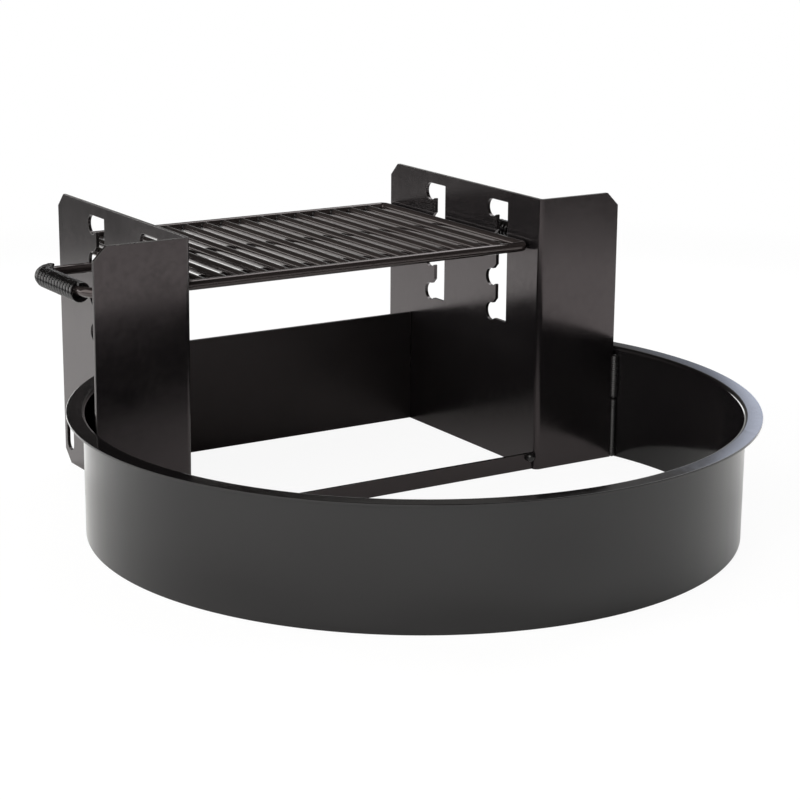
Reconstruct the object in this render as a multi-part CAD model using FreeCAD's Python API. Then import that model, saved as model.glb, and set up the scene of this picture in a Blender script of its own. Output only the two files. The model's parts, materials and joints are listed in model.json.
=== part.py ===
"""Campfire ring with comb-slotted uprights and a four-level cooking grate.

Millimetres, +Z up, +X to the right, +Y to the back.  The pieces are drawn about the ring's axis on the
ground and moved back by one named offset, so that the origin is the middle of the footprint.
"""
import FreeCAD
import Part
import math
import os

Vector = FreeCAD.Vector
UP = Vector(0, 0, 1)

# Ring: a rolled sheet wall with a flange turned outward, open at the back between the uprights.
ring_diameter = 800.0
ring_height = 152.0
ring_sheet = 3.4
flange_reach = 20.0
flange_bend = 2.0

# Uprights: one bent plate on each side, a wing at the front and a main panel running back.
plate = 4.8
upright_height = 363.0
upright_depth = 364.0
upright_clear_width = 508.0
fold_radius = 7.0
wing_front = 96.0
wing_weld_gap = 6.0
corner_cut = 17.0

# Comb slots: two in each main panel, a straight channel with rounded notches behind it.
level_count = 4
level_pitch = 47.0
comb_top_margin = 14.4
channel_width = 25.0
notch_radius = 12.0
notch_setback = 11.0
notch_lip = 3.4
mouth_chamfer = 7.0
slot_inset = 74.5
slot_spacing = 149.5

# Anchor slots: one upright slot near the ground in the rear corner of each main panel.
anchor_slot_width = 20.0
anchor_slot_length = 42.0
anchor_slot_base = 18.0
anchor_slot_inset = 17.0

# Back panel and tie bar between the uprights.
back_panel_height = 156.0
back_panel_inset = 56.0
tie_bar_height = 22.0

# Weld beads.
wing_bead = 11.0
wing_bead_thin = 8.6
wing_bead_split = 82.0
ring_end_bead = 7.0
corner_bead = 8.0
corner_bead_length = 48.0
bead_margin = 9.0
tie_bead = 12.5
tie_bead_inset = 4.5
tie_bead_lead = 2.2
tie_bead_drop = 5.0

# Grate: a bent rod frame, straight bars butted into it, and two handle rods below the bars.
rod = 12.7
bar = 11.1
inner_bar_count = 16
grate_side_gap = 0.8
grate_corner = 8.0
grate_front = 121.5
grate_depth = 345.5
bar_seat_gap = 0.2
levels_under_grate = 2
rest_lift = 2.0
rod_guide_clearance = 0.3

# Handles: each rod is a U whose legs pass through the slots, with a coil spring grip outside.
handle_reach = 82.0
handle_bend = 25.0
spring_wire = 4.4
spring_outside = 26.0
spring_pitch = 8.2
spring_turns = 16
spring_front_reach = 2.0
spring_hang = 0.35

# Values that follow from the ones above.
ring_radius = ring_diameter / 2
ring_inside = ring_radius - ring_sheet
inner_face = upright_clear_width / 2
outer_face = inner_face + plate
panel_rear = wing_front + upright_depth
wing_end = math.sqrt(ring_inside ** 2 - wing_front ** 2) - wing_weld_gap
back_panel_front = panel_rear - back_panel_inset
tie_bar_front = wing_front + fold_radius
grate_rear = grate_front + grate_depth
side_bar_x = inner_face - grate_side_gap - rod / 2
bar_pitch = 2 * side_bar_x / (inner_bar_count + 1)
front_channel = wing_front + slot_inset
channel_fronts = [front_channel, front_channel + slot_spacing]
leg_lines = [y + channel_width - rod_guide_clearance - rod / 2 for y in channel_fronts]
channel_top = upright_height - comb_top_margin
lowest_ledge = channel_top - level_pitch * (level_count - 1) - 2 * notch_radius + notch_lip
rod_z = lowest_ledge - notch_lip + level_pitch * levels_under_grate + rest_lift + rod / 2
bar_seat_z = rod_z + rod / 2 + bar_seat_gap
bar_z = bar_seat_z + bar / 2
frame_z = bar_seat_z + rod / 2
grip_x = outer_face + handle_reach
spring_radius = (spring_outside - spring_wire) / 2
spring_z = rod_z - (spring_radius - spring_wire / 2 - rod / 2 - spring_hang)

footprint_front = -(ring_radius + flange_reach)
footprint_rear = max(panel_rear, grate_rear + rod / 2)
origin_shift = Vector(0, -(footprint_front + footprint_rear) / 2, 0)


def block(x0, x1, y0, y1, z0, z1):
    """Return a box between two corners."""
    return Part.makeBox(x1 - x0, y1 - y0, z1 - z0, Vector(x0, y0, z0))


def prism(points, direction):
    """Return a straight prism on a closed outline of points."""
    return Part.Face(Part.makePolygon(points + points[:1])).extrude(direction)


def mirrored(shape):
    """Return the left-hand twin of a right-hand shape."""
    return shape.mirror(Vector(0, 0, 0), Vector(1, 0, 0))


def fused(solids):
    """Return one clean solid made of solids that meet face to face."""
    return solids[0].fuse(solids[1:]).removeSplitter()


def line(a, b):
    """Return a straight edge."""
    return Part.makeLine(a, b)


def arc(a, middle, b):
    """Return a circular edge through three points."""
    return Part.Arc(a, middle, b).toShape()


def tube(edges, diameter):
    """Return a solid round wire swept along edges that join smoothly."""
    path = Part.Wire(edges)
    first = edges[0]
    start = first.valueAt(first.FirstParameter)
    along = first.tangentAt(first.FirstParameter)
    profile = Part.Wire(Part.Circle(start, along, diameter / 2).toShape())
    sweep = Part.BRepOffsetAPI.MakePipeShell(path)
    sweep.add(profile)
    sweep.build()
    sweep.makeSolid()
    return sweep.shape()


def ring():
    """Return the wall and its flange, cut off at the outer faces of the two uprights."""
    top = ring_height
    under = ring_height - ring_sheet
    outer_bend = flange_bend + ring_sheet
    corner = Vector(ring_radius + flange_bend, 0, under - flange_bend)
    diagonal = Vector(-math.sqrt(0.5), 0, math.sqrt(0.5))
    flange_edge = ring_radius + flange_reach
    edges = [
        line(Vector(ring_radius, 0, 0), Vector(ring_inside, 0, 0)),
        line(Vector(ring_inside, 0, 0), Vector(ring_inside, 0, corner.z)),
        arc(Vector(ring_inside, 0, corner.z), corner + diagonal * outer_bend, Vector(corner.x, 0, top)),
        line(Vector(corner.x, 0, top), Vector(flange_edge, 0, top)),
        line(Vector(flange_edge, 0, top), Vector(flange_edge, 0, under)),
        line(Vector(flange_edge, 0, under), Vector(corner.x, 0, under)),
        arc(Vector(corner.x, 0, under), corner + diagonal * flange_bend, Vector(ring_radius, 0, corner.z)),
        line(Vector(ring_radius, 0, corner.z), Vector(ring_radius, 0, 0)),
    ]
    whole = Part.Face(Part.Wire(edges)).revolve(Vector(0, 0, 0), UP, 360)
    back_opening = block(-outer_face, outer_face, 0, 2 * ring_radius, -top, 2 * top)
    return whole.cut(back_opening)


def bent_plate():
    """Return the right upright's plate, with its fold, before anything is cut."""
    inner_bend = fold_radius - plate
    centre = Vector(inner_face + fold_radius, wing_front + fold_radius, 0)
    diagonal = Vector(-math.sqrt(0.5), -math.sqrt(0.5), 0)
    wing_back = wing_front + plate
    outline = [
        line(Vector(inner_face, panel_rear, 0), Vector(inner_face, centre.y, 0)),
        arc(Vector(inner_face, centre.y, 0), centre + diagonal * fold_radius, Vector(centre.x, wing_front, 0)),
        line(Vector(centre.x, wing_front, 0), Vector(wing_end, wing_front, 0)),
        line(Vector(wing_end, wing_front, 0), Vector(wing_end, wing_back, 0)),
        line(Vector(wing_end, wing_back, 0), Vector(centre.x, wing_back, 0)),
        arc(Vector(centre.x, wing_back, 0), centre + diagonal * inner_bend, Vector(outer_face, centre.y, 0)),
        line(Vector(outer_face, centre.y, 0), Vector(outer_face, panel_rear, 0)),
        line(Vector(outer_face, panel_rear, 0), Vector(inner_face, panel_rear, 0)),
    ]
    return Part.Face(Part.Wire(outline)).extrude(UP * upright_height)


def corner_cuts():
    """Return the prisms that cut the upright's two rear corners and the wing's top outer corner."""
    across = Vector(plate, 0, 0)
    through = Vector(0, plate, 0)
    top = upright_height
    rear_top = [Vector(inner_face, panel_rear, top), Vector(inner_face, panel_rear - corner_cut, top),
                Vector(inner_face, panel_rear, top - corner_cut)]
    rear_base = [Vector(inner_face, panel_rear, 0), Vector(inner_face, panel_rear - corner_cut, 0),
                 Vector(inner_face, panel_rear, corner_cut)]
    wing_top = [Vector(wing_end, wing_front, top), Vector(wing_end - corner_cut, wing_front, top),
                Vector(wing_end, wing_front, top - corner_cut)]
    return [prism(rear_top, across), prism(rear_base, across), prism(wing_top, through)]


def comb_slot(channel_front):
    """Return the cutter of one comb slot: a channel with a notch behind it at each level.

    Each notch is a round seat that dips below a small lip, with a chamfer at the top of its mouth.
    """
    def at(y, z):
        return Vector(inner_face, y, z)

    channel_rear = channel_front + channel_width
    seat_y = channel_rear + notch_setback
    seat_rise = notch_radius - notch_lip
    lip_y = seat_y - math.sqrt(notch_radius ** 2 - seat_rise ** 2)
    corner = at(channel_front, lowest_ledge)
    here = corner
    edges = []
    for level in range(level_count):
        ledge = lowest_ledge + level * level_pitch
        seat_z = ledge + seat_rise
        notch_top = seat_z + notch_radius
        lip = at(lip_y, ledge)
        crown = at(seat_y, notch_top)
        edges.append(line(here, lip))
        edges.append(arc(lip, at(seat_y + notch_radius, seat_z), crown))
        if level == level_count - 1:
            roof = at(channel_front, notch_top)
            edges += [line(crown, roof), line(roof, corner)]
            break
        mouth = at(channel_rear + mouth_chamfer, notch_top)
        tooth = at(channel_rear, notch_top + mouth_chamfer)
        here = at(channel_rear, ledge + level_pitch)
        edges += [line(crown, mouth), line(mouth, tooth), line(tooth, here)]
    return Part.Face(Part.Wire(edges)).extrude(Vector(plate, 0, 0))


def anchor_slot():
    """Return the cutter of the round-ended anchor slot in the rear corner."""
    radius = anchor_slot_width / 2
    centre_y = panel_rear - anchor_slot_inset
    low = anchor_slot_base + radius
    high = anchor_slot_base + anchor_slot_length - radius
    across = Vector(1, 0, 0)
    ends = [Part.makeCylinder(radius, plate, Vector(inner_face, centre_y, z), across) for z in (low, high)]
    middle = block(inner_face, outer_face, centre_y - radius, centre_y + radius, low, high)
    return fused([middle] + ends)


def upright():
    """Return the right upright."""
    cutters = corner_cuts() + [comb_slot(y) for y in channel_fronts] + [anchor_slot()]
    return bent_plate().cut(cutters)


def back_panel():
    """Return the plate that closes the back of the hearth."""
    return block(-inner_face, inner_face, back_panel_front, back_panel_front + plate, 0, back_panel_height)


def tie_bar():
    """Return the flat bar on edge that ties the two folds together on the ground."""
    return block(-inner_face, inner_face, tie_bar_front, tie_bar_front + plate, 0, tie_bar_height)


def upright_bead(x, y, diameter, z0, z1, neighbours):
    """Return a vertical round weld bead with domed ends, trimmed to the pieces that it joins."""
    radius = diameter / 2
    stem = Part.makeCylinder(radius, z1 - z0 - diameter, Vector(x, y, z0 + radius))
    domes = [Part.makeSphere(radius, Vector(x, y, z)) for z in (z0 + radius, z1 - radius)]
    return fused([stem] + domes).cut(neighbours)


def both_sides(solids):
    """Return right-hand solids and their left-hand twins as one group."""
    return Part.makeCompound(solids + [mirrored(s) for s in solids])


def wing_welds(wall, panel):
    """Return the beads in the corners between the wings' ends and the ring's wall."""
    x = wing_end + wing_weld_gap / 2
    top = ring_height - bead_margin
    passes = [(wing_bead_thin, 0, wing_bead_split), (wing_bead, wing_bead_split, top)]
    return both_sides([upright_bead(x, wing_front, size, z0, z1, [wall, panel]) for size, z0, z1 in passes])


def ring_end_welds(wall, panel):
    """Return the beads where the ring's two ends meet the uprights' outer faces."""
    radius = ring_end_bead / 2
    corner_y = math.sqrt(ring_radius ** 2 - outer_face ** 2)
    top = ring_height - ring_sheet - flange_bend - bead_margin
    bead = upright_bead(outer_face + radius / 3, corner_y + radius / 3, ring_end_bead, bead_margin, top,
                        [wall, panel])
    return both_sides([bead])


def back_panel_welds(panel, back):
    """Return two stitches in each corner behind the back panel."""
    y = back_panel_front + plate
    starts = [bead_margin, back_panel_height - bead_margin - corner_bead_length]
    return both_sides([upright_bead(inner_face, y, corner_bead, z, z + corner_bead_length, [panel, back])
                       for z in starts])


def tie_bar_welds(panel, tie):
    """Return the blob of weld on the front of each end of the tie bar."""
    middle = Vector(inner_face - tie_bead_inset, tie_bar_front - tie_bead_lead, tie_bar_height - tie_bead_drop)
    blob = Part.makeSphere(tie_bead / 2, middle, Vector(0, -1, 0))
    return both_sides([blob.cut(tie).cut(panel)])


def rounded_path(points, radius, closed):
    """Return edges along a chain of points with an arc of one radius at every corner."""
    count = len(points)
    corners = range(count) if closed else range(1, count - 1)
    cuts = {}
    for i in corners:
        here = points[i]
        to_before = (points[i - 1] - here).normalize()
        to_after = (points[(i + 1) % count] - here).normalize()
        half_angle = to_before.getAngle(to_after) / 2
        set_back = radius / math.tan(half_angle)
        bisector = (to_before + to_after).normalize()
        middle = here + bisector * (radius / math.sin(half_angle) - radius)
        cuts[i] = (here + to_before * set_back, middle, here + to_after * set_back)
    edges = []
    for i in range(count if closed else count - 1):
        following = (i + 1) % count
        start = cuts[i][2] if i in cuts else points[i]
        end = cuts[following][0] if following in cuts else points[following]
        edges.append(line(start, end))
        if following in cuts:
            edges.append(arc(*cuts[following]))
    return edges


def grate_frame():
    """Return the closed rod frame of the grate."""
    corners = [Vector(-side_bar_x, grate_rear, frame_z), Vector(-side_bar_x, grate_front, frame_z),
               Vector(side_bar_x, grate_front, frame_z), Vector(side_bar_x, grate_rear, frame_z)]
    return tube(rounded_path(corners, grate_corner, True), rod)


def grate_bars(frame):
    """Return the straight bars, with their ends coped to the frame."""
    bars = []
    for index in range(inner_bar_count):
        x = bar_pitch * (index - (inner_bar_count - 1) / 2)
        whole = Part.makeCylinder(bar / 2, grate_depth, Vector(x, grate_front, bar_z), Vector(0, 1, 0))
        bars.append(whole.cut(frame))
    return bars


def handle_rod():
    """Return the right handle: a U whose legs run under the bars to the middle of the grate."""
    front, rear = leg_lines
    points = [Vector(0, front, rod_z), Vector(grip_x, front, rod_z), Vector(grip_x, rear, rod_z),
              Vector(0, rear, rod_z)]
    return tube(rounded_path(points, handle_bend, False), rod)


def spring_guide(side, distance):
    """Return the place and direction on a spring's axis at a distance behind the middle of the grip.

    The axis runs along the grip, round the bend at either end of it and on along the handle's legs.
    """
    front, rear = leg_lines
    straight = (rear - front) / 2 - handle_bend
    end = math.copysign(1, distance)
    past = abs(distance) - straight
    angle = min(max(past / handle_bend, 0), math.pi / 2)
    on_leg = max(past - handle_bend * math.pi / 2, 0)
    x = grip_x - handle_bend * (1 - math.cos(angle)) - on_leg
    y = (front + rear) / 2 + end * (min(abs(distance), straight) + handle_bend * math.sin(angle))
    return Vector(side * x, y, spring_z), Vector(-side * end * math.sin(angle), math.cos(angle), 0)


def spring_point(side, turns):
    """Return the wire's centre after a number of turns from the spring's front end."""
    straight = (leg_lines[1] - leg_lines[0]) / 2 - handle_bend
    place, along = spring_guide(side, turns * spring_pitch - straight - spring_front_reach)
    sideways = along.cross(UP)
    angle = 2 * math.pi * turns
    return place + (UP * math.cos(angle) + sideways * math.sin(angle)) * spring_radius


def spring_direction(side, turns):
    """Return the wire's direction after a number of turns."""
    step = 1e-4
    return (spring_point(side, turns + step) - spring_point(side, turns - step)).normalize()


def half_biarc(start, control, end):
    """Return the circular edge that leaves a start toward a control point and ends at an equal distance."""
    chord_middle = (start + end) * 0.5
    rise = control - chord_middle
    half_chord = (end - start).Length / 2
    lean = math.atan2(rise.Length, half_chord)
    middle = chord_middle + rise.normalize() * half_chord * math.tan(lean / 2)
    return arc(start, middle, end)


def biarc(p0, t0, p1, t1):
    """Return two arcs that join two points along two directions."""
    gap = p1 - p0
    a = 2 * (t0.dot(t1) - 1)
    b = -2 * gap.dot(t0 + t1)
    reach = (-b - math.sqrt(b * b - 4 * a * gap.dot(gap))) / (2 * a)
    first = p0 + t0 * reach
    second = p1 - t1 * reach
    joint = (first + second) * 0.5
    return [half_biarc(p0, first, joint), half_biarc(joint, second, p1)]


def spring_grip(side):
    """Return a coil spring as one unbroken wire, with short straight ends."""
    steps = [i / 4 for i in range(4 * spring_turns + 1)]
    points = [spring_point(side, s) for s in steps]
    directions = [spring_direction(side, s) for s in steps]
    edges = [line(points[0] - directions[0] * spring_wire, points[0])]
    for i in range(len(steps) - 1):
        edges += biarc(points[i], directions[i], points[i + 1], directions[i + 1])
    edges.append(line(points[-1], points[-1] + directions[-1] * spring_wire))
    return tube(edges, spring_wire)


def spring_self_gap(side):
    """Return the least gap between neighbouring turns, measured on points along the wire."""
    per_turn = 24
    count = per_turn * spring_turns
    points = [spring_point(side, i / per_turn) for i in range(count + 1)]
    least = min((points[i] - points[j]).Length
                for i in range(count + 1) for j in range(i + per_turn // 2, min(i + 2 * per_turn, count + 1)))
    return least - spring_wire


def nodes():
    """Return every named piece of the object."""
    wall = ring()
    right = upright()
    back = back_panel()
    tie = tie_bar()
    frame = grate_frame()
    handle = handle_rod()
    pieces = {
        "fire_ring": wall,
        "left_upright": mirrored(right),
        "right_upright": right,
        "back_panel": back,
        "front_tie_bar": tie,
        "wing_welds": wing_welds(wall, right),
        "ring_end_welds": ring_end_welds(wall, right),
        "back_panel_welds": back_panel_welds(right, back),
        "tie_bar_welds": tie_bar_welds(right, tie),
        "grate_frame": frame,
        "left_handle_rod": mirrored(handle),
        "right_handle_rod": handle,
        "left_spring_grip": spring_grip(-1),
        "right_spring_grip": spring_grip(1),
    }
    for number, shape in enumerate(grate_bars(frame), 1):
        pieces["grate_bar_%02d" % number] = shape
    return pieces


def main():
    """Write one file for each piece and print the springs' least gaps."""
    os.makedirs("parts", exist_ok=True)
    for name, shape in nodes().items():
        shape.translate(origin_shift)
        shape.exportStep("parts/%s.step" % name)
    for name, side in (("left_spring_grip", -1), ("right_spring_grip", 1)):
        print("%s least gap to itself %.2f mm" % (name, spring_self_gap(side)))


main()
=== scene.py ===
"""Campfire ring with comb-slotted uprights and a four-level cooking grate, dressed for a studio picture.

Metres, +Z up, +X to the right, +Y to the back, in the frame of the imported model.
"""

import json
import logging
import math
from collections.abc import Callable, Iterable
from dataclasses import dataclass
from enum import Enum

import bmesh
import bpy
from mathutils import Matrix, Vector, noise

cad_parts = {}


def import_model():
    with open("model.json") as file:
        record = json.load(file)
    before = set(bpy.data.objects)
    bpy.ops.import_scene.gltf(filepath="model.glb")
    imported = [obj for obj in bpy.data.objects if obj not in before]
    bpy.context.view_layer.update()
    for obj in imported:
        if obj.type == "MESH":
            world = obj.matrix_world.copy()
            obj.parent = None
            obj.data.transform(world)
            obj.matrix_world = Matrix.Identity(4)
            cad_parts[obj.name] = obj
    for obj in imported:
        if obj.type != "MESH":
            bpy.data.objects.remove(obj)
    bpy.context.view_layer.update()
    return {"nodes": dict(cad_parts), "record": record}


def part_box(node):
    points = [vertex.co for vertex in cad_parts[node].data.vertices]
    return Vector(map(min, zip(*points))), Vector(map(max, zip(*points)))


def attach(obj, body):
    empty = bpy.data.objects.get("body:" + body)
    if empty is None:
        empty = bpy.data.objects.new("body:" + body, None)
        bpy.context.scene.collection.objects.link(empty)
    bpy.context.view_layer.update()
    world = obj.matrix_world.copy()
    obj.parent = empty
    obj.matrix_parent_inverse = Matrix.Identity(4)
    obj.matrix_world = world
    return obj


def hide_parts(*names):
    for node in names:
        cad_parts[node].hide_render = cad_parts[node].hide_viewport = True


MM = 0.001
# Stock and sizes that more than one sub-assembly needs.
PLATE_THICKNESS = 4.8 * MM
FLANGE_REACH = 20.0 * MM
# Points closer than this are one point.
SAME_POINT = 1e-6
# A weld has no sharp edges but the rims where it meets the steel.
BEAD_SHARP_DEG = 80.0
LOG = logging.getLogger("campfire_ring")


class Body(Enum):
    """The two rigid bodies of the object."""

    HEARTH = "frame"
    GRATE = "grate"


class Slot(Enum):
    """The record's material slots."""

    SHEET = "blackened_sheet"
    PLATE = "blackened_plate"
    WELD = "weld_metal"
    ROD = "blackened_rod"
    SPRING = "spring_steel"


class Facing(Enum):
    """Which way the open side of a bead on the right-hand side looks, in degrees from +X towards +Y."""

    INTO_BOWL = -135.0
    OUT_AND_BACK = 45.0
    IN_AND_BACK = 135.0


def linear(code: str) -> tuple[float, float, float, float]:
    """Turn an sRGB hex colour into linear RGBA.

    Args:
        code: Six hex digits after a hash sign.

    Returns:
        The colour's linear red, green and blue, and an alpha of 1.
    """
    parts = [int(code[i:i + 2], 16) / 255 for i in (1, 3, 5)]
    red, green, blue = [p / 12.92 if p <= 0.04045 else ((p + 0.055) / 1.055) ** 2.4 for p in parts]
    return red, green, blue, 1.0


def add_node(tree: bpy.types.NodeTree, kind: str, inputs: dict[str | int, object] | None = None,
             **settings: object) -> bpy.types.Node:
    """Add one node with its settings, values and links.

    Args:
        tree: The node tree that gets the node.
        kind: The node's type name.
        inputs: Socket name or number to a plain value, or to the output socket that feeds it.
        settings: The node's own properties.

    Returns:
        The new node.
    """
    node = tree.nodes.new(kind)
    for name, value in settings.items():
        setattr(node, name, value)
    for key, value in (inputs or {}).items():
        if isinstance(value, bpy.types.NodeSocket):
            tree.links.new(value, node.inputs[key])
        else:
            node.inputs[key].default_value = value
    return node


def blank_material(name: str) -> tuple[bpy.types.Material, bpy.types.NodeTree]:
    """Make a material with an empty node tree.

    Args:
        name: The material's name.

    Returns:
        The material and its tree.
    """
    material = bpy.data.materials.new(name)
    material.use_nodes = True
    material.node_tree.nodes.clear()
    return material, material.node_tree


@dataclass(frozen=True)
class BlackEnamel:
    """Sprayed semi-gloss black enamel, baked over steel.

    The eye sees a near-black film whose gloss mirrors the room softly, a fine orange peel in the mirror image,
    slow waves where the steel under it isn't flat, and dull patches where hands and dust have been. Enamel has an
    IOR of about 1.5 and a roughness of 0.1 to 0.3, and both are matched to the photograph from there.
    """

    name: str
    deep: str = "#070607"
    faded: str = "#0c0b0b"
    ior: float = 1.65
    gloss_tint: str = "#ffffff"
    clean_roughness: float = 0.13
    dull_roughness: float = 0.22
    # Clouds of wear and the grit in them. Their product runs from where the film is clean to where it is dull.
    cloud_mm: float = 70.0
    cloud_detail: float = 3.0
    grit_mm: float = 9.0
    grit_detail: float = 5.0
    grit_harshness: float = 0.65
    clean_wear: float = 0.12
    dull_wear: float = 0.38
    # Real orange peel is 1 to 2 mm across, which is a pixel here, so it is drawn twice as coarse.
    peel_mm: float = 3.2
    peel_detail: float = 1.0
    peel_depth_mm: float = 0.008
    wave_mm: float = 130.0
    wave_detail: float = 0.0
    wave_depth_mm: float = 0.3

    def material(self) -> bpy.types.Material:
        """Make the finish.

        Returns:
            The finish as a material.
        """
        material, tree = blank_material(self.name)
        place = add_node(tree, "ShaderNodeTexCoord").outputs["Object"]
        clouds = add_node(tree, "ShaderNodeTexNoise",
                          {"Vector": place, "Scale": 1 / (self.cloud_mm * MM),
                           "Detail": self.cloud_detail}).outputs["Fac"]
        grit = add_node(tree, "ShaderNodeTexNoise",
                        {"Vector": place, "Scale": 1 / (self.grit_mm * MM), "Detail": self.grit_detail,
                         "Roughness": self.grit_harshness}).outputs["Fac"]
        ripples = add_node(tree, "ShaderNodeTexNoise",
                           {"Vector": place, "Scale": 1 / (self.peel_mm * MM),
                            "Detail": self.peel_detail}).outputs["Fac"]
        swell = add_node(tree, "ShaderNodeTexNoise",
                         {"Vector": place, "Scale": 1 / (self.wave_mm * MM),
                          "Detail": self.wave_detail}).outputs["Fac"]
        tint = add_node(tree, "ShaderNodeMix", {0: clouds, 6: linear(self.deep), 7: linear(self.faded)},
                        data_type="RGBA")
        wear = add_node(tree, "ShaderNodeMath", {0: clouds, 1: grit}, operation="MULTIPLY")
        gloss = add_node(tree, "ShaderNodeMapRange",
                         {"Value": wear.outputs[0], "From Min": self.clean_wear, "From Max": self.dull_wear,
                          "To Min": self.clean_roughness, "To Max": self.dull_roughness})
        waves = add_node(tree, "ShaderNodeBump", {"Distance": self.wave_depth_mm * MM, "Height": swell})
        peel = add_node(tree, "ShaderNodeBump", {"Distance": self.peel_depth_mm * MM, "Height": ripples,
                                                 "Normal": waves.outputs["Normal"]})
        paint = add_node(tree, "ShaderNodeBsdfPrincipled",
                         {"Base Color": tint.outputs[2], "Roughness": gloss.outputs[0], "IOR": self.ior,
                          "Specular Tint": linear(self.gloss_tint), "Normal": peel.outputs["Normal"]})
        add_node(tree, "ShaderNodeOutputMaterial", {"Surface": paint.outputs["BSDF"]})
        return material


def turned(shape: bmesh.types.BMesh, length: float, radius_at: Callable[[float, float], float], place: Matrix,
           segments: int, rings: int) -> None:
    """Add a closed round body along its own Z, with any radius at any place.

    Args:
        shape: The mesh that gets the body.
        length: The body's length.
        radius_at: Gives the radius from the share of the length and the angle round it.
        place: Where the body stands and how it is turned.
        segments: Edges round it.
        rings: Cuts along it.
    """
    body = bmesh.new()
    bmesh.ops.create_cone(body, cap_ends=True, segments=segments, radius1=1, radius2=1, depth=length)
    sides = [e for e in body.edges if abs(e.verts[0].co.z - e.verts[1].co.z) > length / 2]
    bmesh.ops.subdivide_edges(body, edges=sides, cuts=rings)
    for point in body.verts:
        point.co.xy *= radius_at(point.co.z / length + 0.5, math.atan2(point.co.y, point.co.x))
    bmesh.ops.transform(body, matrix=place, verts=body.verts)
    mesh = bpy.data.meshes.new("turned")
    body.to_mesh(mesh)
    body.free()
    shape.from_mesh(mesh)
    bpy.data.meshes.remove(mesh)


@dataclass(frozen=True)
class Piece:
    """What a finished shape needs to become a piece: its name, the body it rides on and its finishes."""

    name: str
    body: Body
    slot: Slot
    materials: tuple[bpy.types.Material, ...]
    replaced: tuple[str, ...] = ()
    sharp_deg: float = 32.0

    def hand_over(self, shape: bmesh.types.BMesh) -> None:
        """Turn a finished shape into the piece.

        Args:
            shape: The shape in the row frame, which is used up.
        """
        bmesh.ops.recalc_face_normals(shape, faces=shape.faces)
        mesh = bpy.data.meshes.new(self.name)
        shape.to_mesh(mesh)
        shape.free()
        mesh.shade_smooth()
        mesh.set_sharp_from_angle(angle=math.radians(self.sharp_deg))
        for material in self.materials:
            mesh.materials.append(material)
        piece = bpy.data.objects.new(self.name, mesh)
        bpy.context.scene.collection.objects.link(piece)
        piece.modifiers.new("even_flats", "WEIGHTED_NORMAL").keep_sharp = True
        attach(piece, self.body.value)
        if self.replaced:
            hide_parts(*self.replaced)
        LOG.info("built %s: %d faces", self.name, len(mesh.polygons))


@dataclass
class FireRing:
    """The rolled wall with its outward flange, open at the back between the uprights."""

    finish: bpy.types.Material
    sheet: float = 3.4 * MM
    flange_reach: float = FLANGE_REACH
    flange_bend: float = 2.0 * MM
    edge_round: float = 0.8 * MM
    plate: float = PLATE_THICKNESS
    inner_bend_segments: int = 8
    outer_bend_segments: int = 4
    edge_segments: int = 3
    turn_steps: int = 360

    def section(self, shape: bmesh.types.BMesh, rim: float, height: float) -> None:
        """Draw the wall's section as one face with its bends and edges rounded.

        Args:
            shape: The empty mesh that gets the face.
            rim: The flange's outer radius.
            height: The wall's height.
        """
        wall = rim - self.flange_reach
        corners = [(wall - self.sheet, 0), (wall, 0), (wall, height - self.sheet), (rim, height - self.sheet),
                   (rim, height), (wall - self.sheet, height)]
        foot_in, foot_out, under_flange, rim_low, rim_high, inner_top = points = [
            shape.verts.new((radius, 0, rise)) for radius, rise in corners]
        shape.faces.new(points)
        bends = [([inner_top], self.flange_bend + self.sheet, self.inner_bend_segments),
                 ([under_flange], self.flange_bend, self.outer_bend_segments),
                 ([foot_in, foot_out, rim_low, rim_high], self.edge_round, self.edge_segments)]
        for where, radius, segments in bends:
            bmesh.ops.bevel(shape, geom=where, offset=radius, offset_type="OFFSET", affect="VERTICES",
                            segments=segments, profile=0.5, material=-1)

    def build(self) -> None:
        """Spin the section, cut the opening and close the two ends."""
        low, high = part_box("fire_ring")
        rim = (high.x - low.x) / 2
        centre = Vector((0, low.y + rim, 0))
        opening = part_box("right_upright")[0].x + self.plate
        shape = bmesh.new()
        self.section(shape, rim, high.z)
        bmesh.ops.delete(shape, geom=shape.faces[:], context="FACES_ONLY")
        bmesh.ops.spin(shape, geom=shape.verts[:] + shape.edges[:], cent=(0, 0, 0), axis=(0, 0, 1),
                       angle=2 * math.pi, steps=self.turn_steps, use_merge=True)
        for side in (-opening, opening):
            bmesh.ops.bisect_plane(shape, geom=shape.verts[:] + shape.edges[:] + shape.faces[:], dist=SAME_POINT,
                                   plane_co=(side, 0, 0), plane_no=(1, 0, 0))
        middles = {face: face.calc_center_median() for face in shape.faces}
        bmesh.ops.delete(shape, geom=[f for f, m in middles.items() if abs(m.x) < opening and m.y > 0],
                         context="FACES")
        bmesh.ops.holes_fill(shape, edges=[e for e in shape.edges if e.is_boundary])
        bmesh.ops.translate(shape, verts=shape.verts, vec=centre)
        Piece("ring_wall", Body.HEARTH, Slot.SHEET, (self.finish,), ("fire_ring",)).hand_over(shape)


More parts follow.
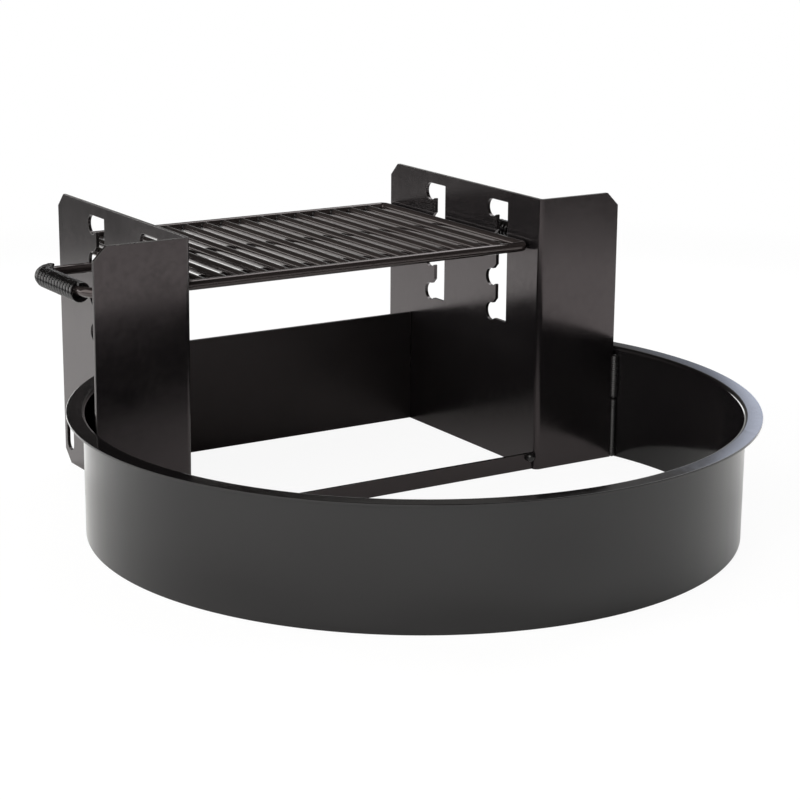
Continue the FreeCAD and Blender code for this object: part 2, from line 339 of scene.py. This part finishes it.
@dataclass
class PlateWork:
    """The bent uprights, the back panel and the tie bar, with their sheared edges broken."""

    finish: bpy.types.Material
    # The back panel's finish is a duller copy of the plate enamel, darkened as painted shade.
    back_shaded_finish: bpy.types.Material
    # Paler finish for the rounded edges: partly thin film, partly a painted highlight along them.
    edge_wear_and_highlight_finish: bpy.types.Material
    edge_round: float = 0.7 * MM
    edge_segments: int = 2
    flat_deg: float = 0.5
    sheared_deg: float = 40.0
    fold_radius: float = 7.0 * MM
    left_lean_deg: float = 0.8

    def refine(self, source: bpy.types.Mesh) -> bmesh.types.BMesh:
        """Give a plate whole flat faces and rounded edges.

        Args:
            source: The solid model's mesh of the plate.

        Returns:
            The plate's shape, with its edges set to the second finish.
        """
        shape = bmesh.new()
        shape.from_mesh(source)
        bmesh.ops.remove_doubles(shape, verts=shape.verts, dist=SAME_POINT)
        bmesh.ops.dissolve_limit(shape, angle_limit=math.radians(self.flat_deg), verts=shape.verts, edges=shape.edges)
        sheared = [e for e in shape.edges if e.calc_face_angle(0.0) > math.radians(self.sheared_deg)]
        rounded = bmesh.ops.bevel(shape, geom=sheared, offset=self.edge_round, offset_type="OFFSET", affect="EDGES",
                                  segments=self.edge_segments, profile=0.5, material=-1, clamp_overlap=True)
        for face in rounded["faces"]:
            face.material_index = 1
        return shape

    def lean(self, shape: bmesh.types.BMesh) -> None:
        """Lean the left wing and its fold forward, as they stand in the photograph.

        Args:
            shape: The left upright's shape.
        """
        fold = min(point.co.y for point in shape.verts) + self.fold_radius
        for point in shape.verts:
            if point.co.y < fold + self.edge_round / 2:
                point.co.y -= point.co.z * math.tan(math.radians(self.left_lean_deg))

    def build(self, nodes: dict[str, bpy.types.Object]) -> None:
        """Build the four plates.

        Args:
            nodes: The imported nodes, whose meshes the plates start from.
        """
        for name in ("left_upright", "right_upright", "back_panel", "front_tie_bar"):
            shape = self.refine(nodes[name].data)
            if name == "left_upright":
                self.lean(shape)
            faces = self.back_shaded_finish if name == "back_panel" else self.finish
            Piece(name + "_plate", Body.HEARTH, Slot.PLATE, (faces, self.edge_wear_and_highlight_finish), (name,)).hand_over(shape)


@dataclass(frozen=True)
class Bead:
    """One upright weld run: where it stands, which way its open side looks, its width and its two ends."""

    x: float
    y: float
    facing: Facing
    width: float
    low: float
    high: float


@dataclass
class Welds:
    """The hearth's weld beads, with the ripples of the running pool."""

    finish: bpy.types.Material
    plate: float = PLATE_THICKNESS
    flange_reach: float = FLANGE_REACH
    margin: float = 9.0 * MM
    # Ripples: their spacing, their depth as a share of the bead, and how far they trail round it.
    ripple: float = 2.6 * MM
    ripple_depth: float = 0.14
    ripple_arch: float = 2.2 * MM
    rings_per_ripple: int = 5
    bead_segments: int = 24
    # The domed ends of a bead stop just short of a point.
    blunt_end: float = 0.002
    # Wing to ring: a narrow run from the ground and a wide one above it.
    wing_gap: float = 3.0 * MM
    wing_width: float = 11.0 * MM
    wing_low_width: float = 8.6 * MM
    wing_change: float = 82.0 * MM
    # Ring end to upright.
    end_shift: float = 1.17 * MM
    end_width: float = 7.0 * MM
    end_below_rim: float = 14.4 * MM
    # Back panel to upright.
    stitch_width: float = 8.0 * MM
    stitch_length: float = 48.0 * MM
    # Tie bar to upright: one lumpy blob, moved in from the bar's upper front corner.
    tie_blob: float = 12.5 * MM
    tie_blob_shift: Vector = Vector((-4.5, -2.2, -5.0)) * MM
    blob_fill: float = 0.96
    blob_lump: float = 0.07
    blob_lump_size: float = 4.5 * MM
    blob_twin_change: float = 7.0
    blob_subdivisions: int = 4

    def radius(self, bead: Bead, share: float, angle: float) -> float:
        """Find a bead's radius at one place.

        Args:
            bead: The weld run.
            share: The share of its length from its lower end.
            angle: The angle round it.

        Returns:
            The radius there.
        """
        length, half = bead.high - bead.low, bead.width / 2
        arch = self.ripple_arch * (1 - math.cos(angle - math.radians(bead.facing.value)))
        crest = abs(math.sin(math.pi * (share * length + arch) / self.ripple))
        from_end = min(share, 1 - share) * length
        dome = math.sqrt(max(self.blunt_end, 1 - max(0.0, 1 - from_end / half) ** 2))
        return half * dome * (1 - self.ripple_depth * (1 - crest))

    def run(self, beads: Iterable[Bead]) -> bmesh.types.BMesh:
        """Lay beads on the right-hand side and their twins on the left.

        Args:
            beads: The beads on the right.

        Returns:
            A shape with all of them.
        """
        shape = bmesh.new()
        for bead in beads:
            length = bead.high - bead.low
            turned(shape, length, lambda share, angle, b=bead: self.radius(b, share, angle),
                   Matrix.Translation((bead.x, bead.y, (bead.low + bead.high) / 2)), self.bead_segments,
                   round(self.rings_per_ripple * length / self.ripple))
        twin = bmesh.ops.duplicate(shape, geom=shape.verts[:] + shape.edges[:] + shape.faces[:])["geom"]
        bmesh.ops.scale(shape, vec=(-1, 1, 1), verts=[v for v in twin if isinstance(v, bmesh.types.BMVert)])
        return shape

    def blobs(self, spot: Vector) -> bmesh.types.BMesh:
        """Set a lumpy blob at each end of the tie bar.

        Args:
            spot: The middle of the blob on the right.

        Returns:
            A shape with both blobs.
        """
        shape = bmesh.new()
        for side in (-1, 1):
            ball = bmesh.ops.create_icosphere(shape, subdivisions=self.blob_subdivisions,
                                              radius=self.tie_blob / 2)["verts"]
            change = Vector((self.blob_twin_change * side, 0, 0))
            for point in ball:
                point.co *= self.blob_fill + self.blob_lump * noise.noise(point.co / self.blob_lump_size + change)
            bmesh.ops.translate(shape, verts=ball, vec=(side * spot.x, spot.y, spot.z))
        return shape

    def build(self) -> None:
        """Lay all the beads of the hearth."""
        low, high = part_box("right_upright")
        ring_low, ring_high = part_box("fire_ring")
        back_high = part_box("back_panel")[1]
        tie_low, tie_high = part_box("front_tie_bar")
        tie_end = Vector((tie_high.x, tie_low.y, tie_high.z))
        wing = Bead(high.x + self.wing_gap, low.y, Facing.INTO_BOWL, self.wing_width, self.wing_change,
                    ring_high.z - self.margin)
        wing_low = Bead(wing.x, wing.y, Facing.INTO_BOWL, self.wing_low_width, 0, wing.low)
        outer = low.x + self.plate
        rim = (ring_high.x - ring_low.x) / 2
        end_y = ring_low.y + rim + math.sqrt((rim - self.flange_reach) ** 2 - outer ** 2)
        end = Bead(outer + self.end_shift, end_y + self.end_shift, Facing.OUT_AND_BACK, self.end_width, self.margin,
                   ring_high.z - self.end_below_rim)
        stitches = [Bead(low.x, back_high.y, Facing.IN_AND_BACK, self.stitch_width, start, start + self.stitch_length)
                    for start in (self.margin, back_high.z - self.margin - self.stitch_length)]
        for name, shape in (("wing_welds", self.run([wing, wing_low])), ("ring_end_welds", self.run([end])),
                            ("back_panel_welds", self.run(stitches)),
                            ("tie_bar_welds", self.blobs(tie_end + self.tie_blob_shift))):
            Piece(name + "_beads", Body.HEARTH, Slot.WELD, (self.finish,), (name,), BEAD_SHARP_DEG).hand_over(shape)


@dataclass
class GrateWelds:
    """The welds that hold the grate together: a fillet at each bar's end and tacks on the handle rods."""

    finish: bpy.types.Material
    rod: float = 12.7 * MM
    bar: float = 11.1 * MM
    bar_count: int = 16
    # A fillet stands proud of the bar, fades towards its top and bottom, and fades away from the frame.
    fillet: float = 2.6 * MM
    fillet_skin: float = 0.1 * MM
    fillet_side_fade: float = 1.5
    fillet_end_fade: int = 2
    fillet_segments: int = 24
    fillet_rings: int = 6
    # Tacks: half their size, how far from the middle of a leg they sit as a share of it, and their lumps.
    tack: Vector = Vector((3.4, 2.4, 1.9)) * MM
    tack_reach: float = 0.36
    tack_drop: float = 0.3 * MM
    tack_lump: float = 0.25
    tack_change: float = 900.0
    tack_subdivisions: int = 2

    def fillet_radius(self, share: float, angle: float) -> float:
        """Return the radius of a bar-end fillet, which is wide beside the bar and thin above and below it."""
        spread = abs(math.cos(angle)) ** self.fillet_side_fade * (1 - share) ** self.fillet_end_fade
        return self.bar / 2 + self.fillet_skin + self.fillet * spread

    def build(self) -> None:
        """Weld every bar to the frame and to the handle rods under it."""
        frame_low, frame_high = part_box("grate_frame")
        leg_low, leg_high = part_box("left_handle_rod")
        legs = (leg_low.y + self.rod / 2, leg_high.y - self.rod / 2)
        shape = bmesh.new()
        for number in range(1, self.bar_count + 1):
            low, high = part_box(f"grate_bar_{number:02d}")
            middle = (low + high) / 2
            for rim, way in ((frame_low.y + self.rod, 1), (frame_high.y - self.rod, -1)):
                turn = Matrix.Rotation(-way * math.pi / 2, 4, "X")
                place = Matrix.Translation((middle.x, rim, middle.z)) @ turn
                turned(shape, self.rod / 2, self.fillet_radius, place, self.fillet_segments, self.fillet_rings)
            for leg in legs:
                for way in (-1, 1):
                    spot = Vector((middle.x, leg + way * self.tack_reach * self.rod, low.z - self.tack_drop))
                    ball = bmesh.ops.create_icosphere(shape, subdivisions=self.tack_subdivisions, radius=1)["verts"]
                    for point in ball:
                        point.co *= 1 + self.tack_lump * noise.noise(point.co + spot * self.tack_change)
                        point.co *= self.tack
                    bmesh.ops.translate(shape, verts=ball, vec=spot)
        Piece("grate_welds", Body.GRATE, Slot.ROD, (self.finish,), (), BEAD_SHARP_DEG).hand_over(shape)


@dataclass(frozen=True)
class Camera:
    """The photograph's view: where the lens stands and how it is turned."""

    east_mm: float = -1419.5
    north_mm: float = -2226.3
    height_mm: float = 847.2
    yaw_deg: float = 32.456
    pitch_deg: float = 14.860
    roll_deg: float = 0.446
    lens_mm: float = 100.1
    sensor_mm: float = 36.0
    sight: float = 100.0

    def build(self) -> None:
        """Make the camera and hand it to the scene."""
        yaw, pitch, roll = (math.radians(a) for a in (self.yaw_deg, self.pitch_deg, self.roll_deg))
        data = bpy.data.cameras.new("camera")
        data.lens = self.lens_mm
        data.sensor_width = self.sensor_mm
        data.clip_end = self.sight
        camera = bpy.data.objects.new("camera", data)
        turn = Matrix.Rotation(-yaw, 4, "Z") @ Matrix.Rotation(math.pi / 2 - pitch, 4, "X")
        place = Matrix.Translation(Vector((self.east_mm, self.north_mm, self.height_mm)) * MM)
        camera.matrix_world = place @ turn @ Matrix.Rotation(roll, 4, "Z")
        bpy.context.scene.collection.objects.link(camera)
        bpy.context.scene.camera = camera


@dataclass(frozen=True)
class SoftBox:
    """One square soft box, aimed at a point. The enamel doesn't mirror it, because it mirrors the painted room."""

    name: str
    place: tuple[float, float, float]
    aim: tuple[float, float, float]
    side: float
    watts: float

    def build(self) -> None:
        """Make the soft box."""
        data = bpy.data.lights.new(self.name, "AREA")
        data.size = self.side
        data.energy = self.watts
        lamp = bpy.data.objects.new(self.name, data)
        direction = Vector(self.aim) - Vector(self.place)
        lamp.matrix_world = Matrix.Translation(self.place) @ direction.to_track_quat("-Z", "Y").to_matrix().to_4x4()
        lamp.visible_camera = lamp.visible_glossy = False
        bpy.context.scene.collection.objects.link(lamp)


@dataclass(frozen=True)
class LowLights:
    """A circle of wide lights just above the floor, which light it up to the ring and leave the bowl dim."""

    bearings_deg: tuple[float, ...] = (-115.0, -70.0, -25.0, 25.0, 70.0, 115.0)
    rise_deg: float = 12.0
    spread_deg: float = 26.0
    left_strength: float = 2.1
    right_strength: float = 1.45

    def build(self) -> None:
        """Make the circle of lights."""
        for bearing in self.bearings_deg:
            name = f"low_light_{bearing:+.0f}"
            data = bpy.data.lights.new(name, "SUN")
            data.energy = self.left_strength if bearing < 0 else self.right_strength
            data.angle = math.radians(self.spread_deg)
            lamp = bpy.data.objects.new(name, data)
            turn = Matrix.Rotation(-math.radians(bearing), 4, "Z")
            lamp.matrix_world = turn @ Matrix.Rotation(-math.radians(90 - self.rise_deg), 4, "X")
            lamp.visible_camera = lamp.visible_glossy = False
            bpy.context.scene.collection.objects.link(lamp)


@dataclass(frozen=True)
class Pane:
    """One lit patch of the room: its colour, its brightness and its four soft edges.

    The sides are bearings from +Y towards +X, and the other two edges are heights above the horizon. Each edge has
    two angles: where the patch starts and where it is full.
    """

    colour: str
    light: float
    left_deg: tuple[float, float]
    right_deg: tuple[float, float]
    low_deg: tuple[float, float]
    high_deg: tuple[float, float]


@dataclass(frozen=True)
class Room:
    """What the enamel mirrors above the floor: pale walls, a dim ceiling, two windows and lit patches of wall."""

    white: str = "#ffffff"
    wall_colour: str = "#f2f2f1"
    wall_top_deg: float = 5.0
    ceiling_start_deg: float = 13.0
    ceiling_colour: str = "#454340"
    panes: tuple[Pane, ...] = (
        # A strip along the horizon at the back: the bright crescent on the rim's inner bend.
        Pane("#ffffff", 5.0, (-75, -65), (26, 20), (-4, 0), (9, 5)),
        # The lit wall at the left rear: the second line along each bar of the grate.
        Pane("#fffdfa", 1.8, (-66, -56), (-25.5, -28.5), (2, 7), (19, 13)),
        # The left window: the lights on the turns of the spring grip.
        Pane("#fffdfa", 2.2, (-160, -148), (-58, -70), (3, 9), (60, 46)),
        # The pale low ceiling at the right: the grey of the flange next to its bright part.
        Pane("#fffcf8", 0.23, (18, 42.4), (140, 110), (5, 13), (34, 24)),
        # The wall beside the right window: the far part of the flange.
        Pane("#e4ebff", 0.7, (37.6, 40.6), (85, 75), (-4, 0), (15.2, 14.3)),
        # The right window's upper half: the lines on the front and rear rods of the grate.
        Pane("#ffffff", 2.9, (40.4, 42.3), (85, 75), (18, 24), (72, 62)),
        # The right window's lower half, which is bluer: the bright part of the flange.
        Pane("#e4ebff", 2.3, (40.4, 42.3), (85, 75), (-4, 0), (24, 18)),
    )

    def ramp(self, tree: bpy.types.NodeTree, value: bpy.types.NodeSocket, start_deg: float,
             full_deg: float) -> bpy.types.NodeSocket:
        """Make a smooth step from 0 where an edge starts to 1 where it is full.

        Args:
            tree: The world's node tree.
            value: The angle that is compared, in radians.
            start_deg: Where the edge starts.
            full_deg: Where it is full.

        Returns:
            The socket that gives the step.
        """
        return add_node(tree, "ShaderNodeMapRange",
                        {"Value": value, "From Min": math.radians(start_deg), "From Max": math.radians(full_deg)},
                        interpolation_type="SMOOTHSTEP").outputs[0]

    def build(self) -> None:
        """Paint the room on the world."""
        world = bpy.data.worlds.new("white_room")
        world.use_nodes = True
        tree = world.node_tree
        tree.nodes.clear()
        direction = add_node(tree, "ShaderNodeTexCoord").outputs["Generated"]
        axes = add_node(tree, "ShaderNodeSeparateXYZ", {"Vector": direction}).outputs
        bearing = add_node(tree, "ShaderNodeMath", {0: axes["X"], 1: axes["Y"]}, operation="ARCTAN2").outputs[0]
        level = add_node(tree, "ShaderNodeMath", {0: axes["Z"]}, operation="ARCSINE").outputs[0]
        above = self.ramp(tree, level, self.wall_top_deg, self.ceiling_start_deg)
        plain = add_node(tree, "ShaderNodeMix", {0: above, 6: linear(self.wall_colour),
                                                 7: linear(self.ceiling_colour)}, data_type="RGBA").outputs[2]
        room = add_node(tree, "ShaderNodeBackground", {"Color": plain}).outputs[0]
        for pane in self.panes:
            inside = self.ramp(tree, bearing, *pane.left_deg)
            for value, edge in ((bearing, pane.right_deg), (level, pane.low_deg), (level, pane.high_deg)):
                inside = add_node(tree, "ShaderNodeMath", {0: inside, 1: self.ramp(tree, value, *edge)},
                                  operation="MULTIPLY").outputs[0]
            lit = add_node(tree, "ShaderNodeBackground", {"Color": linear(pane.colour), "Strength": pane.light})
            room = add_node(tree, "ShaderNodeMixShader", {0: inside, 1: room, 2: lit.outputs[0]}).outputs[0]
        white = add_node(tree, "ShaderNodeBackground", {"Color": linear(self.white)}).outputs[0]
        seen = add_node(tree, "ShaderNodeLightPath").outputs["Is Camera Ray"]
        both = add_node(tree, "ShaderNodeMixShader", {0: seen, 1: room, 2: white}).outputs[0]
        add_node(tree, "ShaderNodeOutputWorld", {"Surface": both})
        bpy.context.scene.world = world


@dataclass(frozen=True)
class Floor:
    """A white floor without an edge, which keeps a faint shadow and is dim away from the object."""

    side: float = 40.0
    below: float = 0.2 * MM
    colour: str = "#f6f6f5"
    far_colour: str = "#6e6e6d"
    # The near colour ends and the far colour starts at these distances from the middle.
    near: float = 1.45
    far: float = 2.2
    # Shares of plain white that the camera sees near the object, and that the enamel mirrors. The rest is the lit
    # floor with its shadows.
    seen_glow: float = 0.92
    mirrored_glow: float = 0.02

    def build(self) -> None:
        """Lay the floor."""
        material, tree = blank_material("white_floor")
        rays = add_node(tree, "ShaderNodeLightPath").outputs
        seen = add_node(tree, "ShaderNodeMath", {0: rays["Is Camera Ray"], 1: rays["Is Transmission Ray"]},
                        operation="MAXIMUM").outputs[0]
        place = add_node(tree, "ShaderNodeTexCoord").outputs["Object"]
        reach = add_node(tree, "ShaderNodeVectorMath", {0: place}, operation="LENGTH").outputs["Value"]
        away = add_node(tree, "ShaderNodeMapRange", {"Value": reach, "From Min": self.near, "From Max": self.far},
                        interpolation_type="SMOOTHSTEP").outputs[0]
        whiten = add_node(tree, "ShaderNodeMapRange", {"Value": away, "To Min": self.seen_glow, "To Max": 1.0})
        tone = add_node(tree, "ShaderNodeMix", {0: away, 6: linear(self.colour), 7: linear(self.far_colour)},
                        data_type="RGBA").outputs[2]
        seen_glow = add_node(tree, "ShaderNodeMath", {0: seen, 1: whiten.outputs[0]}, operation="MULTIPLY")
        glow = add_node(tree, "ShaderNodeMath",
                        {0: rays["Is Glossy Ray"], 1: self.mirrored_glow, 2: seen_glow.outputs[0]},
                        operation="MULTIPLY_ADD")
        matt = add_node(tree, "ShaderNodeBsdfDiffuse", {"Color": tone})
        white = add_node(tree, "ShaderNodeEmission", {"Strength": 1.0})
        both = add_node(tree, "ShaderNodeMixShader", {0: glow.outputs[0], 1: matt.outputs[0], 2: white.outputs[0]})
        add_node(tree, "ShaderNodeOutputMaterial", {"Surface": both.outputs[0]})
        shape = bmesh.new()
        bmesh.ops.create_grid(shape, x_segments=1, y_segments=1, size=self.side / 2)
        bmesh.ops.translate(shape, verts=shape.verts, vec=(0, 0, -self.below))
        mesh = bpy.data.meshes.new("floor")
        shape.to_mesh(mesh)
        shape.free()
        mesh.materials.append(material)
        floor = bpy.data.objects.new("floor", mesh)
        bpy.context.scene.collection.objects.link(floor)


@dataclass(frozen=True)
class Studio:
    """The floor, the room and the lamps."""

    floor: Floor = Floor()
    room: Room = Room()
    low_lights: LowLights = LowLights()
    overhead: SoftBox = SoftBox("overhead_box", (-0.5, 0.0, 3.4), (0, 0, 0.2), 2.2, 3.0)
    left_fill: SoftBox = SoftBox("left_fill_box", (-1.5, -0.7, 1.0), (-0.75, -0.35, 0), 0.6, 6.0)

    def build(self) -> None:
        """Make the studio."""
        for part in (self.floor, self.room, self.low_lights, self.overhead, self.left_fill):
            part.build()
        bpy.context.scene.view_settings.view_transform = "Standard"


def dress(name: str, frame: dict, material: bpy.types.Material) -> None:
    """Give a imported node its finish.

    Args:
        name: The node's name.
        material: The finish.
    """
    slots = frame["nodes"][name].data.materials
    slots.clear()
    slots.append(material)
    LOG.info("dressed %s with %s", name, material.name)


def main() -> None:
    """Build the picture."""
    logging.basicConfig(level=logging.INFO)
    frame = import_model()
    finishes = {
        # Rolled sheet is smooth, so the ring mirrors the room more clearly than the plates do.
        Slot.SHEET: BlackEnamel("enamelled_rolled_sheet", ior=1.46, clean_roughness=0.08, dull_roughness=0.15),
        # Thicker plate shows a softer mirror image with a slightly warm tone.
        Slot.PLATE: BlackEnamel("enamelled_plate", gloss_tint="#fff0f2"),
        # The film lies unevenly on weld metal, so its small lights are broken up.
        Slot.WELD: BlackEnamel("enamelled_weld_bead", clean_roughness=0.2, dull_roughness=0.32, peel_depth_mm=0.03),
        # Drawn rod has a slightly brown film, with thin clear lines of light along it.
        Slot.ROD: BlackEnamel("enamelled_rod", deep="#161313", faded="#1f1b1a", gloss_tint="#fff0ee",
                              clean_roughness=0.12, dull_roughness=0.2),
        # Smooth drawn wire gives each turn of the spring one clear light.
        Slot.SPRING: BlackEnamel("enamelled_spring_wire", clean_roughness=0.1, dull_roughness=0.18),
    }
    materials = {slot: finish.material() for slot, finish in finishes.items()}
    # The film draws back from a sheared edge, which shows duller; its paler colour is partly the thin film and partly
    # a painted highlight along the edge.
    thin = BlackEnamel("thin_enamel_and_painted_edge_highlight", deep="#1c1a1a", faded="#2c2928", clean_roughness=0.22,
                       dull_roughness=0.36).material()
    # The back panel mirrors nothing clearly and is evenly dark; it gets a copy of the plate enamel with a weaker,
    # duller gloss, which darkens it as painted shade.
    shaded_plate_enamel = BlackEnamel("shaded_copy_of_plate_enamel", gloss_tint="#fff0f2", ior=1.55, clean_roughness=0.34,
                        dull_roughness=0.42).material()
    for part in frame["record"]["subparts"]:
        dress(part["node"], frame, materials[Slot(part["material_slot"])])
    FireRing(materials[Slot.SHEET]).build()
    PlateWork(materials[Slot.PLATE], shaded_plate_enamel, thin).build(frame["nodes"])
    Welds(materials[Slot.WELD]).build()
    GrateWelds(materials[Slot.WELD]).build()
    Studio().build()
    Camera().build()


if __name__ == "__main__":
    main()
